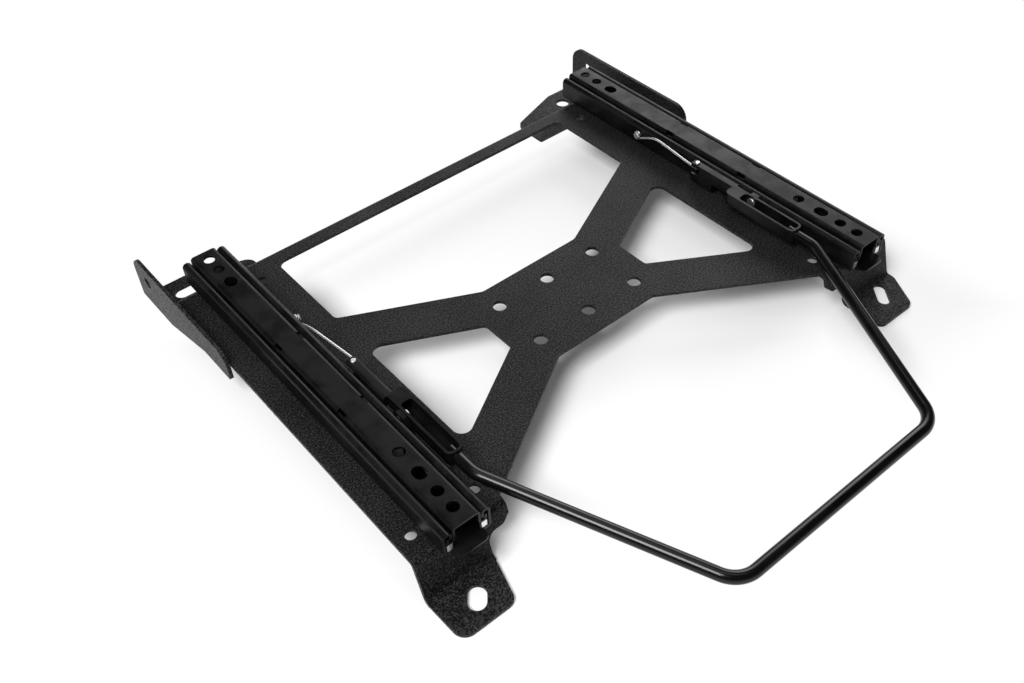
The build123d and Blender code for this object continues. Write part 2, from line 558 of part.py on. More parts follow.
# Rail screws: two through each lower rail and the deck, with their nuts under the deck
with BuildPart() as rail_screws:
    with BuildSketch(above(FLOOR)):
        with Locations((0, RAIL_MID)):
            with GridLocations(2 * RAIL_X, 2 * SCREW_AT, 2, 2):
                Circle(SCREW_HEAD_R)
    extrude(amount=SCREW_HEAD)
    fillet(rail_screws.edges().group_by(Axis.Z)[-1], SCREW_HEAD / 4)
    with BuildSketch(above(FLOOR + SCREW_HEAD)):
        with Locations((0, RAIL_MID)):
            with GridLocations(2 * RAIL_X, 2 * SCREW_AT, 2, 2):
                RegularPolygon(SCREW_SOCKET / 2, 6, major_radius=False)
    extrude(amount=-SCREW_SOCKET_DEEP, mode=Mode.SUBTRACT)
    with BuildSketch(above(FLOOR)):
        with Locations((0, RAIL_MID)):
            with GridLocations(2 * RAIL_X, 2 * SCREW_AT, 2, 2):
                Circle(SCREW_R)
    extrude(amount=-FLOOR - SHEET - NUT_TALL - SCREW_PAST_NUT)
rail_screws.part.label = "rail_screws"
export_step(rail_screws.part, "parts/rail_screws.step")

with BuildPart() as rail_nuts:
    with BuildSketch(above(-SHEET)):
        with Locations((0, RAIL_MID)):
            with GridLocations(2 * RAIL_X, 2 * SCREW_AT, 2, 2):
                RegularPolygon(NUT_WIDE / 2, 6, major_radius=False)
                Circle(SCREW_R, mode=Mode.SUBTRACT)
    extrude(amount=-NUT_TALL)
rail_nuts.part.label = "rail_nuts"
export_step(rail_nuts.part, "parts/rail_nuts.step")

# Travel stops: a stud on each lower rail's floor, and two tabs under each upper rail's web
with BuildPart() as stop_studs:
    with BuildSketch(above(FLOOR)):
        with Locations((-RAIL_X, RAIL_MID), (RAIL_X, RAIL_MID)):
            Circle(STUD_R)
    extrude(amount=STUD_TALL)
    with BuildSketch(above(FLOOR)):
        with Locations((-RAIL_X, RAIL_MID), (RAIL_X, RAIL_MID)):
            Circle(STUD_SHANK_R)
    extrude(amount=-FLOOR)
stop_studs.part.label = "stop_studs"
export_step(stop_studs.part, "parts/stop_studs.step")

with BuildPart() as stops_right:
    with BuildSketch(across(RAIL_X)):
        with BuildLine():
            Polyline(
                (STOP_AT, STUD_TOP - STOP_OVERLAP), (STOP_AT + STOP_THICK, STUD_TOP - STOP_OVERLAP),
                (STOP_AT + STOP_THICK, UPPER_TOP - RAIL_SHEET),
                (STOP_AT + STOP_THICK - STOP_LEG, UPPER_TOP - RAIL_SHEET),
                (STOP_AT + STOP_THICK - STOP_LEG, UPPER_TOP - RAIL_SHEET - STOP_THICK),
                (STOP_AT, UPPER_TOP - RAIL_SHEET - STOP_THICK), close=True)
        make_face()
    extrude(amount=STOP_WIDE / 2, both=True)
    mirror(about=Plane.XZ.offset(-MID_Y - RAIL_MID))
stops_right.part.label = "travel_stops_right"
export_step(stops_right.part, "parts/travel_stops_right.step")

with BuildPart() as stops_left:
    mirror(stops_right.part, about=Plane.YZ)
stops_left.part.label = "travel_stops_left"
export_step(stops_left.part, "parts/travel_stops_left.step")

# Lever bracket on the lower rail's inner wall, and the pivot pin riveted into it
with BuildPart() as bracket_right:
    with BuildSketch(across(TRAY_OUT + SIDE_PLAY)):
        with BuildLine():
            FilletPolyline(
                (BRACKET_FRONT, BRACKET_LOW), (BRACKET_REAR, BRACKET_LOW),
                (PIVOT_Y + BRACKET_R, PIVOT_Z + BRACKET_R), (PIVOT_Y - BRACKET_R, PIVOT_Z + BRACKET_R),
                radius=(BRACKET_R / 2, BRACKET_R / 2, BRACKET_R, BRACKET_R), close=True)
        make_face()
        with Locations((PIVOT_Y, PIVOT_Z)):
            Circle(PIVOT_R, mode=Mode.SUBTRACT)
    extrude(amount=RAIL_WALL - TRAY_OUT - SIDE_PLAY)
bracket_right.part.label = "lever_bracket_right"
export_step(bracket_right.part, "parts/lever_bracket_right.step")

with BuildPart() as bracket_left:
    mirror(bracket_right.part, about=Plane.YZ)
bracket_left.part.label = "lever_bracket_left"
export_step(bracket_left.part, "parts/lever_bracket_left.step")

with BuildPart() as pivot_pins:
    with BuildSketch(across(TRAY_OUT - TRAY_WALL - SIDE_PLAY)):
        with Locations((PIVOT_Y, PIVOT_Z)):
            Circle(PIVOT_R)
    extrude(amount=RAIL_WALL - TRAY_OUT + TRAY_WALL + SIDE_PLAY)
    with BuildSketch(across(TRAY_OUT - TRAY_WALL - SIDE_PLAY)):
        with Locations((PIVOT_Y, PIVOT_Z)):
            Circle(PIVOT_HEAD_R)
    extrude(amount=-PIVOT_HEAD)
    fillet(pivot_pins.edges().group_by(Axis.X)[0], PIVOT_HEAD / 3)
    mirror(about=Plane.YZ)
pivot_pins.part.label = "pivot_pins"
export_step(pivot_pins.part, "parts/pivot_pins.step")

# Lever: an open tray that holds the bar's end, and a rear arm that ends in a tab for the spring's pin
with BuildPart() as lever_right:
    with BuildSketch(facing(ARM_FRONT)):
        with BuildLine():
            FilletPolyline(
                (TRAY_IN, TRAY_RIM), (TRAY_IN, TRAY_LOW), (TRAY_OUT, TRAY_LOW), (TRAY_OUT, TRAY_RIM),
                radius=(0, TRAY_R, TRAY_R, 0), close=True)
        make_face()
    extrude(amount=ARM_FRONT - TRAY_FRONT)
    with BuildSketch(above(TRAY_LOW)):
        with BuildLine():
            FilletPolyline(
                (TRAY_IN, TRAY_FRONT), (TRAY_OUT, TRAY_FRONT), (TRAY_OUT, ARM_FRONT), (TRAY_IN, ARM_FRONT),
                radius=(TRAY_CORNER_R, TRAY_CORNER_R, 0, TRAY_CORNER_R), close=True)
        make_face()
    extrude(amount=TRAY_RIM - TRAY_LOW, mode=Mode.INTERSECT)
    for inner_top, inner_rear in ((TRAY_RIM - TRAY_WALL, ARM_FRONT - TRAY_WALL), (TRAY_RIM, TRAY_POCKET_REAR)):
        with BuildSketch(above(TRAY_LOW + TRAY_WALL)):
            with BuildLine():
                FilletPolyline(
                    (TRAY_IN + TRAY_WALL, TRAY_FRONT + TRAY_WALL),
                    (TRAY_OUT - TRAY_WALL, TRAY_FRONT + TRAY_WALL), (TRAY_OUT - TRAY_WALL, inner_rear),
                    (TRAY_IN + TRAY_WALL, inner_rear), radius=TRAY_CORNER_R - TRAY_WALL, close=True)
            make_face()
        extrude(amount=inner_top - TRAY_LOW - TRAY_WALL, mode=Mode.SUBTRACT)
    with BuildSketch(facing(TRAY_FRONT)):
        with Locations((BAR_X, BAR_Z)):
            Circle(BAR_R + BAR_HOLE_GAP)
    extrude(amount=-TRAY_CORNER_R, mode=Mode.SUBTRACT)
    with BuildSketch(across(TRAY_OUT)):
        with Locations((PIVOT_Y, PIVOT_Z)):
            Circle(PIVOT_R + PIVOT_GAP)
    extrude(amount=-TRAY_WALL, mode=Mode.SUBTRACT)
    with BuildSketch(facing(ARM_REAR)):
        with BuildLine():
            FilletPolyline(
                (ARM_IN, ARM_LOW), (ARM_IN, TRAY_RIM), (ARM_OUT, TRAY_RIM), (ARM_OUT, ARM_LOW), radius=ARM_R)
            offset(amount=TRAY_WALL, side=Side.RIGHT)
        make_face()
    extrude(amount=ARM_REAR - ARM_FRONT)
    with BuildSketch(facing(ARM_FRONT)):
        with BuildLine():
            FilletPolyline(
                (ARM_IN, ARM_LOW), (ARM_OUT, ARM_LOW), (ARM_OUT, TRAY_RIM), (ARM_IN, TRAY_RIM),
                radius=(0, 0, ARM_R, 0), close=True)
        make_face()
    extrude(amount=TRAY_WALL)
    with BuildSketch(across(ARM_IN)):
        with Locations((ARM_WALL_REAR, ARM_LOW)):
            Rectangle(
                ARM_REAR - ARM_WALL_REAR, TRAY_RIM - TRAY_WALL - ARM_LOW, align=(Align.MIN, Align.MIN))
    extrude(amount=ARM_WIDE, mode=Mode.SUBTRACT)
    with BuildSketch(above(TRAY_RIM)):
        with Locations((EYE_X, ARM_REAR)):
            Rectangle(ARM_WIDE, 2 * ARM_R)
        with BuildLine():
            FilletPolyline(
                (ARM_IN, ARM_WALL_REAR), (ARM_IN, ARM_REAR), (ARM_OUT, ARM_REAR), (ARM_OUT, ARM_WALL_REAR),
                radius=(0, ARM_R, ARM_R, 0), close=True)
        make_face(mode=Mode.SUBTRACT)
        with Locations((EYE_X, SPRING_PIN_Y)):
            Circle(SPRING_PIN_R)
    extrude(amount=-TRAY_WALL, mode=Mode.SUBTRACT)
lever_right.part.label = "lever_right"
export_step(lever_right.part, "parts/lever_right.step")

with BuildPart() as lever_left:
    mirror(lever_right.part, about=Plane.YZ)
lever_left.part.label = "lever_left"
export_step(lever_left.part, "parts/lever_left.step")

# Lock comb: an angle welded under the arm, with fingers through the rail's window below the notches
with BuildPart() as comb_right:
    with BuildSketch(above(COMB_TOP)):
        with BuildLine():
            Polyline(
                (ARM_IN, COMB_FRONT), (ARM_OUT, COMB_FRONT), (ARM_OUT, FINGER_LAST + FINGER_WIDE / 2),
                (ARM_IN, FINGER_LAST + FINGER_WIDE / 2), close=True)
        make_face()
        with Locations((ARM_OUT, (FINGER_FIRST + FINGER_LAST) / 2)):
            with GridLocations(FINGER_WIDE, NOTCH_PITCH, 1, FINGER_COUNT):
                Rectangle(
                    RAIL_X - NOTCH_IN - FINGER_END_GAP - ARM_OUT, FINGER_WIDE,
                    align=(Align.MIN, Align.CENTER))
    extrude(amount=-COMB_THICK)
    with BuildSketch(above(COMB_TOP)):
        with BuildLine():
            Polyline(
                (ARM_IN, COMB_FRONT), (ARM_IN + TRAY_WALL, COMB_FRONT),
                (ARM_IN + TRAY_WALL, FINGER_LAST + FINGER_WIDE / 2),
                (ARM_IN, FINGER_LAST + FINGER_WIDE / 2), close=True)
        make_face()
    extrude(amount=ARM_LOW - COMB_TOP)
comb_right.part.label = "lock_comb_right"
export_step(comb_right.part, "parts/lock_comb_right.step")

with BuildPart() as comb_left:
    mirror(comb_right.part, about=Plane.YZ)
comb_left.part.label = "lock_comb_left"
export_step(comb_left.part, "parts/lock_comb_left.step")

# Release bar: one round rod, bent at each side and at both front corners
with BuildPart() as release_bar:
    with BuildLine(DECK) as bar_line:
        FilletPolyline(
            (-BAR_X, BAR_END_Y, BAR_Z), (-BAR_X, BAR_BEND_Y, BAR_Z),
            (-BAR_CORNER_X, BAR_FRONT_Y, BAR_FRONT_Z), (BAR_CORNER_X, BAR_FRONT_Y, BAR_FRONT_Z),
            (BAR_X, BAR_BEND_Y, BAR_Z), (BAR_X, BAR_END_Y, BAR_Z),
            radius=(BAR_BEND_R, BAR_CORNER_R, BAR_CORNER_R, BAR_BEND_R))
    with BuildSketch(Plane((-BAR_X, MID_Y + BAR_END_Y, TOP_Z + BAR_Z), x_dir=(1, 0, 0), z_dir=(0, -1, 0))):
        Circle(BAR_R)
    sweep(path=bar_line.wire())
    chamfer(release_bar.edges().filter_by(GeomType.CIRCLE).group_by(Axis.Y)[-1], BAR_END_CHAMFER)
release_bar.part.label = "release_bar"
export_step(release_bar.part, "parts/release_bar.step")

# Return spring: a bowed wire with an eye on the pin under the lever's tab and one on the rail's anchor
with BuildPart() as spring_pins:
    with BuildSketch(above(TRAY_RIM)):
        with Locations((EYE_X, SPRING_PIN_Y)):
            Circle(SPRING_HEAD_R)
    extrude(amount=SPRING_HEAD)
    fillet(spring_pins.edges().group_by(Axis.Z)[-1], SPRING_HEAD / 2)
    with BuildSketch(above(TRAY_RIM)):
        with Locations((EYE_X, SPRING_PIN_Y)):
            Circle(SPRING_PIN_R)
    extrude(amount=EYE_Z - WIRE_R - EYE_GAP - TRAY_RIM)
    with BuildSketch(above(EYE_Z - WIRE_R - EYE_GAP)):
        with Locations((EYE_X, SPRING_PIN_Y)):
            Circle(SPRING_HEAD_R)
    extrude(amount=-SPRING_HEAD / 2)
    mirror(about=Plane.YZ)
spring_pins.part.label = "spring_pins"
export_step(spring_pins.part, "parts/spring_pins.step")

with BuildPart() as spring_anchors:
    with BuildSketch(across(RAIL_WALL + RAIL_SHEET)):
        with Locations((ANCHOR_Y, ANCHOR_Z)):
            Circle(ANCHOR_R)
    extrude(amount=-RAIL_SHEET - ANCHOR_LONG)
    with BuildSketch(across(RAIL_WALL - ANCHOR_LONG)):
        with Locations((ANCHOR_Y, ANCHOR_Z)):
            Circle(ANCHOR_HEAD_R)
    extrude(amount=-ANCHOR_HEAD)
    fillet(spring_anchors.edges().group_by(Axis.X)[0], ANCHOR_HEAD / 3)
    mirror(about=Plane.YZ)
spring_anchors.part.label = "spring_anchors"
export_step(spring_anchors.part, "parts/spring_anchors.step")

with BuildLine(above(EYE_Z)) as pin_eye:
    CenterArc((EYE_X, SPRING_PIN_Y), PIN_EYE_R, 180 + EYE_TURN, -EYE_TURN)
with BuildLine(across(ANCHOR_EYE_X)) as anchor_eye:
    CenterArc((ANCHOR_Y, ANCHOR_Z), ANCHOR_EYE_R, -90 - WIRE_DIVE, EYE_TURN)
with BuildLine() as wire_run:
    FilletPolyline(
        pin_eye.line @ 1, pin_eye.line @ 1 + (0, WIRE_PIN_RUN, 0),
        anchor_eye.line @ 0 - WIRE_ANCHOR_RUN * (anchor_eye.line % 0), anchor_eye.line @ 0, radius=WIRE_BEND_R)
with BuildPart() as spring_right:
    wire_path = Wire([*pin_eye.edges(), *wire_run.edges(), *anchor_eye.edges()])
    with BuildSketch(Plane(wire_path @ 0, z_dir=wire_path % 0)):
        Circle(WIRE_R)
    sweep(path=wire_path)
spring_right.part.label = "return_spring_right"
export_step(spring_right.part, "parts/return_spring_right.step")

with BuildPart() as spring_left:
    mirror(spring_right.part, about=Plane.YZ)
spring_left.part.label = "return_spring_left"
export_step(spring_left.part, "parts/return_spring_left.step")
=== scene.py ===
# %% [markdown]
# # A sliding seat mount, dressed in Blender
# The packed model brings every piece at its real size and place, in metres: the bent base plate, the two
# sliders, the release bar with its levers, and the small fasteners. This lesson gives those pieces softened
# edges and paint, adds the few shapes that a solid model leaves out, and lights them on a white table.

import json
import math

import bmesh
import bpy
import numpy as np
from mathutils import Matrix


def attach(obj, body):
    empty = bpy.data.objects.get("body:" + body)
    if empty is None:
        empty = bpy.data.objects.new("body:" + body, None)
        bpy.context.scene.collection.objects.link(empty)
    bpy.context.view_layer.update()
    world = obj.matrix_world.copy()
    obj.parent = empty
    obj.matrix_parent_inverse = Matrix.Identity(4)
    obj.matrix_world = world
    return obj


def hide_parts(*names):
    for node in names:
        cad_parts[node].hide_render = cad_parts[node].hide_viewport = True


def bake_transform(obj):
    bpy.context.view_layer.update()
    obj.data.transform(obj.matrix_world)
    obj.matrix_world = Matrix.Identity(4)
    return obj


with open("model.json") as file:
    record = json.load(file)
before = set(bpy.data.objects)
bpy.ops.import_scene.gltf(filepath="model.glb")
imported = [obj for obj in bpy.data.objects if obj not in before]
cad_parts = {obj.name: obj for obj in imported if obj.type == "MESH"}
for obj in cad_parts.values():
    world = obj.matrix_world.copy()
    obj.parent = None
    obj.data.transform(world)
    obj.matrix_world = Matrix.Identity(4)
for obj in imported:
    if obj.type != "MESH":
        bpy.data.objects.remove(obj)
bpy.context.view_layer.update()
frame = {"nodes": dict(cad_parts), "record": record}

# %% [markdown]
# ## The view
# The photograph looks down on the mount from its front left corner, with a fairly short lens. The camera was
# worked out from the plate's right angles, the bolt grid and the rails: three rows give the directions of its
# right side, its underside and its line of sight. Writing them into the camera's own matrix is exact, where
# aiming it by hand at a target would only come near.

# %% Camera
to_right = np.array([0.768239, -0.639445, -0.030298])
to_below = np.array([-0.47032, -0.531675, -0.704358])
to_front = np.array([0.43429, 0.555365, -0.709198])
eye_point = np.array([-0.4276, -0.4667, 0.6226])

camera_data = bpy.data.cameras.new("view")
camera_data.sensor_width = 36.0
camera_data.lens = 37.76
camera_data.clip_start = 0.01
camera = bpy.data.objects.new("view", camera_data)
bpy.context.scene.collection.objects.link(camera)
placing = np.eye(4)
placing[:3] = np.column_stack([to_right, -to_below, -to_front, eye_point])
camera.matrix_world = Matrix(placing.tolist())
bpy.context.scene.camera = camera
print("camera at", eye_point.tolist(), "with a lens of", round(camera_data.lens, 2), "mm")

# %% [markdown]
# ## Writing materials as sums
# A material is a tree of nodes, and a long one is hard to read as a picture. Here a small class wraps one
# socket and answers to + - *, so that `0.4 + 0.2 * grain` adds the Math nodes for it. Every node is made by
# one method, which takes the node's type, its settings, and the values or links of its sockets. Two nodes
# come back in nearly every finish, a noise and a gentle step, so each has a short name of its own.

# %% Socket arithmetic
class Signal:
    """One output socket of a finish, with arithmetic on its values."""

    def __init__(self, finish, socket):
        self.finish, self.socket = finish, socket

    def maths(self, operation, first, second=0.0):
        return self.finish.node("ShaderNodeMath", {"operation": operation}, {0: first, 1: second})

    def __add__(self, other):
        return self.maths("ADD", self, other)

    def __radd__(self, other):
        return self.maths("ADD", other, self)

    def __sub__(self, other):
        return self.maths("SUBTRACT", self, other)

    def __rsub__(self, other):
        return self.maths("SUBTRACT", other, self)

    def __mul__(self, other):
        return self.maths("MULTIPLY", self, other)

    def __rmul__(self, other):
        return self.maths("MULTIPLY", other, self)

    def at_least(self, other):
        return self.maths("MAXIMUM", self, other)

    def at_most(self, other):
        return self.maths("MINIMUM", self, other)

    def size(self):
        return self.maths("ABSOLUTE", self)


print("a signal answers to + - * from both sides, and to at_least, at_most and size")

# %% Trees of nodes
class Finish:
    """The nodes of one material, or of the room round it; node() adds any node to them."""

    def __init__(self, owner):
        self.owner = owner
        owner.use_nodes = True
        self.tree = owner.node_tree
        self.tree.nodes.clear()

    def node(self, kind, settings=None, values=None, out=0):
        """Settings go in first, then each socket gets its value or its link; out names the output to use."""
        made = self.tree.nodes.new(kind)
        for name, setting in (settings or {}).items():
            setattr(made, name, setting)
        for name, value in (values or {}).items():
            if isinstance(value, Signal):
                self.tree.links.new(value.socket, made.inputs[name])
            else:
                made.inputs[name].default_value = value
        return Signal(self, made.outputs[out]) if len(made.outputs) else made

    def surface(self, shader, output="ShaderNodeOutputMaterial"):
        """Closes the tree with a shader, and hands back the material or world that carries it."""
        self.node(output, None, {"Surface": shader})
        return self.owner

    def place(self):
        """Object coordinates, in metres."""
        return self.node("ShaderNodeTexCoord", None, None, "Object")

    def part_of(self, vector, axis):
        """One number of a vector: 0 for x, 1 for y, 2 for z."""
        return self.node("ShaderNodeSeparateXYZ", None, {"Vector": vector}, axis)

    def noise(self, place, per_metre, detail, roughness=0.5):
        """Soft random spots from 0 to 1, about per_metre of them along a metre, with finer ones by detail."""
        return self.node("ShaderNodeTexNoise", None, {
            "Vector": place, "Scale": per_metre, "Detail": detail, "Roughness": roughness})

    def step(self, value, start, end, low=0.0, high=1.0):
        """From low to high while the value goes from start to end, gently at both ends."""
        return self.node("ShaderNodeMapRange", {"interpolation_type": "SMOOTHSTEP"}, {
            "Value": value, "From Min": start, "From Max": end, "To Min": low, "To Max": high})

    def blend_colours(self, share, low, high):
        """From the low colour to the high one, by a share from 0 to 1.

        A Mix node keeps a set of sockets for each kind of value; 6, 7 and output 2 are the colours.
        """
        return self.node("ShaderNodeMix", {"data_type": "RGBA"}, {0: share, 6: (*low, 1.0), 7: (*high, 1.0)}, 2)


def new_material(name):
    """An empty tree of nodes on a new material."""
    return Finish(bpy.data.materials.new(name))


print("a finish has:", [name for name in vars(Finish) if not name.startswith("_")])

# %% [markdown]
# ## Textured black powder coat
# The plate has a fine wrinkled powder coat: small round grains about a millimetre across, which catch the
# light as tiny sparks and turn the black to charcoal. An image of it would show its edges somewhere, so two
# noises at different scales make the grain, and a bump turns it into relief. The crests are smoother than the
# valleys, and painted paler: a painted glint for those sparks. Such a coat is a poor mirror, so its specular
# level is far below the usual 0.5.

# %% Powder coat
def powder_coat(name, dark, pale, depth):
    """Relief = 0.7 of a 1.2 mm noise plus 0.3 of a 0.7 mm one, and it drives the bump.

    Glint crests = where that relief, raised a little by wide soft patches, is high. There the colour is painted
    from dark to pale, a painted glint, and roughness goes from 0.46 down to 0.32.
    """
    coat = new_material(name)
    place = coat.place()
    grain = coat.noise(place, per_metre=860.0, detail=2.0, roughness=0.6)
    crumbs = coat.noise(place, per_metre=1500.0, detail=1.0)
    patches = coat.noise(place, per_metre=14.0, detail=3.0)
    relief = 0.7 * grain + 0.3 * crumbs
    # painted glints: where the relief is high, the colour is painted paler
    glint_crests = coat.step(relief + 0.12 * patches, start=0.5, end=0.68)
    bump = coat.node("ShaderNodeBump", None, {"Strength": 0.9, "Distance": depth, "Height": relief})
    return coat.surface(coat.node("ShaderNodeBsdfPrincipled", None, {
        "Base Color": coat.blend_colours(glint_crests, dark, pale),
        "Roughness": 0.46 - 0.14 * glint_crests,
        "IOR": 1.5,
        "Specular IOR Level": 0.11,
        "Normal": bump}))


# pale is the colour of the painted glints on the crests
plate_finish = powder_coat(
    "plate powder coat", dark=(0.0015, 0.0015, 0.0016), pale=(0.045, 0.045, 0.0453), depth=0.0005)
print("made", plate_finish.name)

# %% [markdown]
# ## Smooth satin black
# The rails, levers and brackets are dipped in a thin smooth paint. It shows no grain, only slow changes in
# gloss along the metal, in slow streaks that are a little rougher and lighter, and a faint orange peel. Two low
# noises and hardly any bump are enough. The release bar has the same paint in a glossier coat, so one function
# makes both.

# %% Satin paint
def satin_paint(name, colour, roughness, spread, gloss):
    """Roughness = a middle value, plus or minus half the spread by a 20 mm noise of slow streaks.

    Where the streaks are high the colour is 1.8 times as light, and a faint 3 mm ripple is the orange peel.
    """
    coat = new_material(name)
    place = coat.place()
    # slow streaks: rougher, and with a colour up to 1.8 times as light
    slow_streaks = coat.step(coat.noise(place, per_metre=46.0, detail=5.0, roughness=0.6), start=0.35, end=0.65)
    peel = coat.noise(place, per_metre=330.0, detail=1.0)
    bump = coat.node("ShaderNodeBump", None, {"Strength": 0.15, "Distance": 0.00008, "Height": peel})
    streak_colour = tuple(1.8 * part for part in colour)
    return coat.surface(coat.node("ShaderNodeBsdfPrincipled", None, {
        "Base Color": coat.blend_colours(slow_streaks, colour, streak_colour),
        "Roughness": (roughness - spread / 2) + spread * slow_streaks,
        "IOR": 1.5,
        "Specular IOR Level": gloss,
        "Normal": bump}))


rail_finish = satin_paint(
    "rail satin black", colour=(0.0032, 0.0032, 0.0032), roughness=0.36, spread=0.18, gloss=0.17)
bar_finish = satin_paint(
    "bar gloss black", colour=(0.002, 0.002, 0.002), roughness=0.18, spread=0.06, gloss=0.35)
print("made", rail_finish.name, "and", bar_finish.name)

# %% [markdown]
# ## Bright metal
# The springs, pins, nuts, cages and stops are zinc plated, and the balls are polished steel. Plated metal is a
# little cloudy: its tone and its roughness change in small soft patches. The balls come from the same recipe
# with much less roughness, which is what makes them mirror.

# %% Plated and polished metal
def bright_metal(name, colour, roughness, cloud):
    """Roughness = a base value plus cloud times a 4 mm noise.

    Colour goes with the same noise, from 0.82 of itself where it is low to the full one where it is high.
    """
    metal = new_material(name)
    clouds = metal.noise(metal.place(), per_metre=260.0, detail=2.0)
    darker = tuple(0.82 * part for part in colour)
    return metal.surface(metal.node("ShaderNodeBsdfPrincipled", None, {
        "Base Color": metal.blend_colours(clouds, darker, colour),
        "Metallic": 1.0,
        "Roughness": roughness + cloud * clouds}))


zinc_finish = bright_metal("bright zinc", colour=(0.92, 0.92, 0.93), roughness=0.4, cloud=0.04)
steel_finish = bright_metal("polished steel", colour=(0.82, 0.82, 0.84), roughness=0.08, cloud=0.05)
finishes = {"plate_black": plate_finish, "rail_black": rail_finish, "bar_black": bar_finish,
            "zinc": zinc_finish, "steel": steel_finish}
print("finishes:", sorted(finishes))

# %% [markdown]
# ## Which finish goes where
# The packed record names a material slot for each node, and the body that each node moves with. Reading both
# here means that a node kept as it is, and a piece that takes a node's place, get the right finish and move
# the right way without a second list.

# %% Paint the packed nodes
record = frame["record"]
slot_of = {entry["node"]: entry["material_slot"] for entry in record["subparts"]}
body_of = {node: body for body, nodes in record["behaviour"]["bodies"].items() for node in nodes}


def paint(piece, slot):
    """One finish over the whole piece."""
    piece.data.materials.clear()
    piece.data.materials.append(finishes[slot])


for node_name, node in frame["nodes"].items():
    paint(node, slot_of[node_name])
print("painted", len(frame["nodes"]), "nodes")

# %% [markdown]
# ## Softened edges
# A laser-cut and painted sheet has no knife edges: the paint rounds them to a few tenths of a millimetre, and
# that thin line catches the light. A packed node is loose triangles with razor edges, and it stays untouched,
# so a merged copy takes its place. Flat faces are joined again, edges that turn sharply are marked, and a
# Bevel modifier rounds only those.

# %% Helpers for every new piece
def smooth_but_for_corners(work, corner):
    """Every face is smooth, and every edge that turns by more than the corner's angle is sharp."""
    for face in work.faces:
        face.smooth = True
    for line in work.edges:
        line.smooth = not (line.is_manifold and line.calc_face_angle() > corner)


def as_piece(name, mesh, slot):
    """The mesh as an object at the origin, painted with the finish of its slot."""
    piece = bpy.data.objects.new(name, mesh)
    bpy.context.scene.collection.objects.link(piece)
    paint(piece, slot)
    return piece


print("a new piece takes one of", len(finishes), "finishes")

# %% Edge softening
sheet_corner = math.radians(34)   # a sharper turn than this is an edge, and not a facet of a round
flat_enough = math.radians(0.6)   # faces that turn by less than this are one flat face
most_corners = 60                 # a flat face with more corners than this is cut up again


def softened(node_name, name, edge):
    """A merged copy of a node, in which each sharp edge gets a round of the given width in two steps."""
    mesh = frame["nodes"][node_name].data.copy()
    mesh.name = name
    work = bmesh.new()
    work.from_mesh(mesh)
    bmesh.ops.remove_doubles(work, verts=work.verts, dist=1e-6)
    bmesh.ops.dissolve_limit(work, angle_limit=flat_enough, verts=work.verts, edges=work.edges)
    bmesh.ops.triangulate(work, faces=[face for face in work.faces if len(face.verts) > most_corners])
    smooth_but_for_corners(work, sheet_corner)
    work.to_mesh(mesh)
    work.free()
    piece = as_piece(name, mesh, slot_of[node_name])
    bevel = piece.modifiers.new("edge", "BEVEL")
    bevel.width, bevel.segments = edge, 2
    bevel.limit_method, bevel.angle_limit = "ANGLE", sheet_corner
    bevel.harden_normals = True
    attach(piece, body_of[node_name])
    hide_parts(node_name)
    return piece


made = [softened("base_plate", "bent_plate", 0.0004)]
for side in ("left", "right"):
    made += [
        softened("lower_rail_" + side, "rail_channel_" + side, 0.00025),
        softened("upper_rail_" + side, "sliding_channel_" + side, 0.00025),
        softened("lever_" + side, "lever_tray_" + side, 0.0003),
        softened("lever_bracket_" + side, "lever_cheek_" + side, 0.0003)]
print("softened:", [piece.name for piece in made])

# %% [markdown]
# ## Shapes worked out on a grid
# The bar and the wires are round stock bent to a line. Each is a surface of two parameters: how far along the
# line, and the angle round it. The line itself is straight runs joined by arcs that touch them, the way a
# bending machine leaves a rod. Its corners are written in millimetres from the deck, which is where they
# were measured.

# %% Lines
deck_middle = np.array([0.0, 5.0, 36.0])   # millimetres; the middle of the bolt grid, on the deck's top face


def at_deck(points):
    """Millimetres from the middle of the bolt grid, turned into the model's metres."""
    return (np.asarray(points, float) + deck_middle) / 1000.0


def bent_line(corners, radii, step):
    """Straight runs between the corners, with an arc of the given radius touching both runs at each corner.

    Arc = centre + start * cos a - back * radius * sin a, for a from 0 to the turn, a step or so apart.
    """
    corners = np.asarray(corners, float)
    pieces = [corners[:1]]
    for before, corner, after, radius in zip(corners[:-2], corners[1:-1], corners[2:], radii):
        back, ahead = before - corner, after - corner
        back, ahead = back / np.linalg.norm(back), ahead / np.linalg.norm(ahead)
        turn = math.pi - math.acos(np.clip(back @ ahead, -1, 1))
        inward = (back + ahead) / np.linalg.norm(back + ahead)
        centre = corner + inward * radius / math.cos(turn / 2)
        start = (corner + back * radius * math.tan(turn / 2)) - centre
        angle = np.linspace(0.0, turn, max(4, int(radius * turn / step)))[:, None]
        pieces.append(centre + start * np.cos(angle) - back * radius * np.sin(angle))
    pieces.append(corners[-1:])
    return np.vstack(pieces)


trial = bent_line([(0, 0, 0), (50, 0, 0), (50, 50, 0)], [24.0], 1.5)
print("a quarter bend of 24 mm has", len(trial), "stations")

# %% Tubes
tube_corner = math.radians(40)   # a sharper turn than this, as at a cut end, is an edge of the tube


